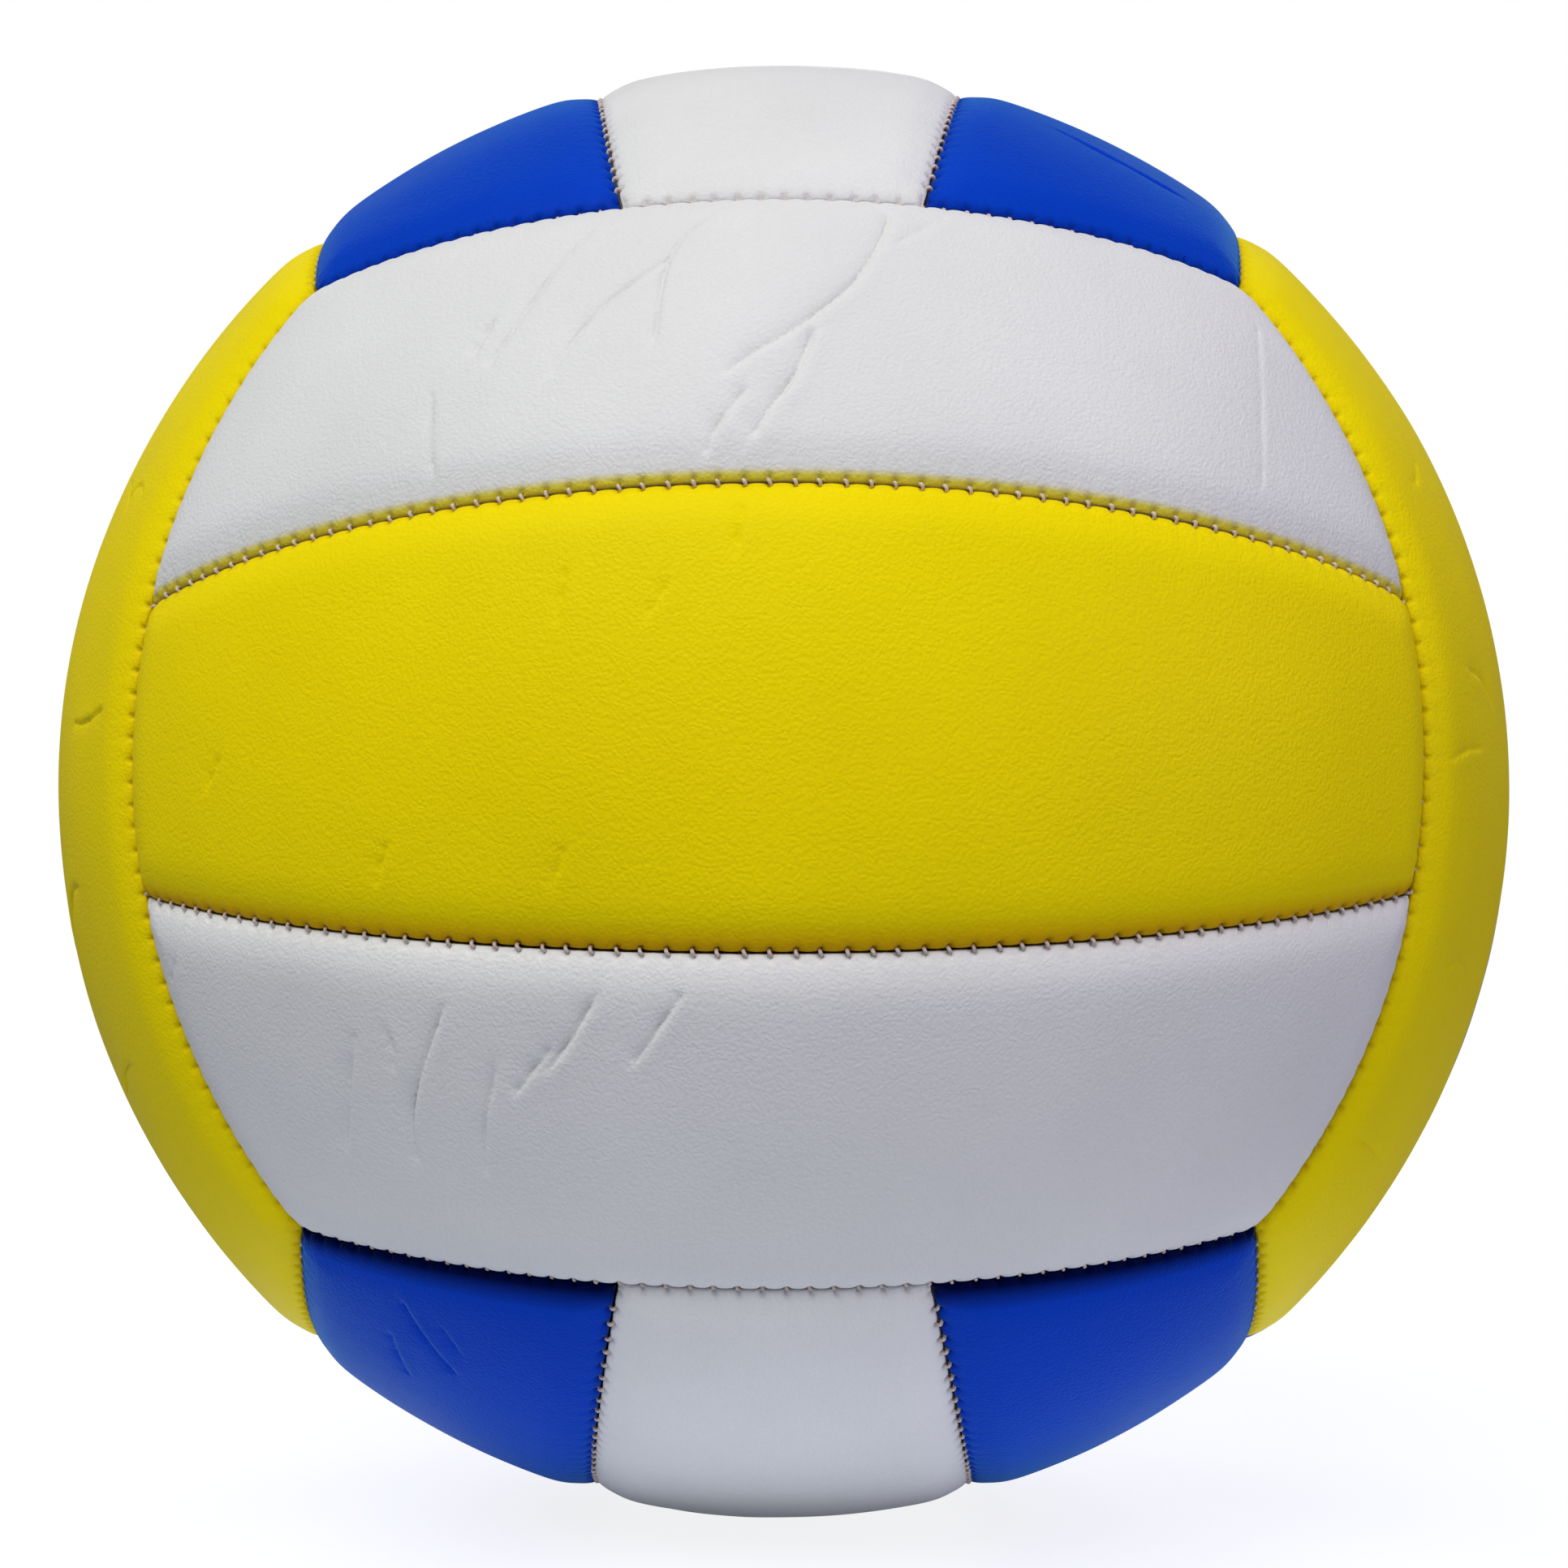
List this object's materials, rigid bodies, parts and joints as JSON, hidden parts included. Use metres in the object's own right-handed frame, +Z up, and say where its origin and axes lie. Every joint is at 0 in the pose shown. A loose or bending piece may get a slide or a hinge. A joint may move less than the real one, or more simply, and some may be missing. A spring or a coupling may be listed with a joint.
{
  "type": "volleyball",
  "caption": "Stitched volleyball with padded leather strips laid crosswise on its faces, over a rubber bladder that is filled through a needle valve.",
  "frame": {"origin": "the ball's centre", "axes": "+Z up; -Y out of the face whose strips lie level, which the picture shows; +Y out of the needle valve; +X to the right in the picture"},
  "size_m": [0.21, 0.2099, 0.21],
  "materials": {
    "cover_white": "fine pebble grain, satin",
    "cover_yellow": "fine pebble grain, satin",
    "cover_blue": "fine pebble grain, satin",
    "padding_foam": "closed-cell foam, matt",
    "lining_cloth": "woven cloth, matt",
    "stitching_thread": "waxed twisted thread",
    "bladder_rubber": "matt black rubber",
    "valve_rubber": "matt black rubber"
  },
  "bodies": {
    "root": {"front_upper_panel": "cover_white", "front_middle_panel": "cover_yellow", "front_lower_panel": "cover_white", "back_upper_panel": "cover_white", "back_middle_panel": "cover_yellow", "back_lower_panel": "cover_white", "left_front_panel": "cover_yellow", "left_middle_panel": "cover_blue", "left_back_panel": "cover_yellow", "right_front_panel": "cover_yellow", "right_middle_panel": "cover_blue", "right_back_panel": "cover_yellow", "top_left_panel": "cover_blue", "top_middle_panel": "cover_white", "top_right_panel": "cover_blue", "bottom_left_panel": "cover_blue", "bottom_middle_panel": "cover_white", "bottom_right_panel": "cover_blue", "front_upper_foam": "padding_foam", "front_middle_foam": "padding_foam", "front_lower_foam": "padding_foam", "back_upper_foam": "padding_foam", "back_middle_foam": "padding_foam", "back_lower_foam": "padding_foam", "left_front_foam": "padding_foam", "left_middle_foam": "padding_foam", "left_back_foam": "padding_foam", "right_front_foam": "padding_foam", "right_middle_foam": "padding_foam", "right_back_foam": "padding_foam", "top_left_foam": "padding_foam", "top_middle_foam": "padding_foam", "top_right_foam": "padding_foam", "bottom_left_foam": "padding_foam", "bottom_middle_foam": "padding_foam", "bottom_right_foam": "padding_foam", "front_lining": "lining_cloth", "back_lining": "lining_cloth", "left_lining": "lining_cloth", "right_lining": "lining_cloth", "top_lining": "lining_cloth", "bottom_lining": "lining_cloth", "front_strip_thread": "stitching_thread", "back_strip_thread": "stitching_thread", "left_strip_thread": "stitching_thread", "right_strip_thread": "stitching_thread", "top_strip_thread": "stitching_thread", "bottom_strip_thread": "stitching_thread", "front_back_border_thread": "stitching_thread", "left_right_border_thread": "stitching_thread", "top_bottom_border_thread": "stitching_thread", "bladder": "bladder_rubber", "valve_body": "valve_rubber", "valve_core": "valve_rubber", "valve_patch": "bladder_rubber"}
  },
  "joints": []
}
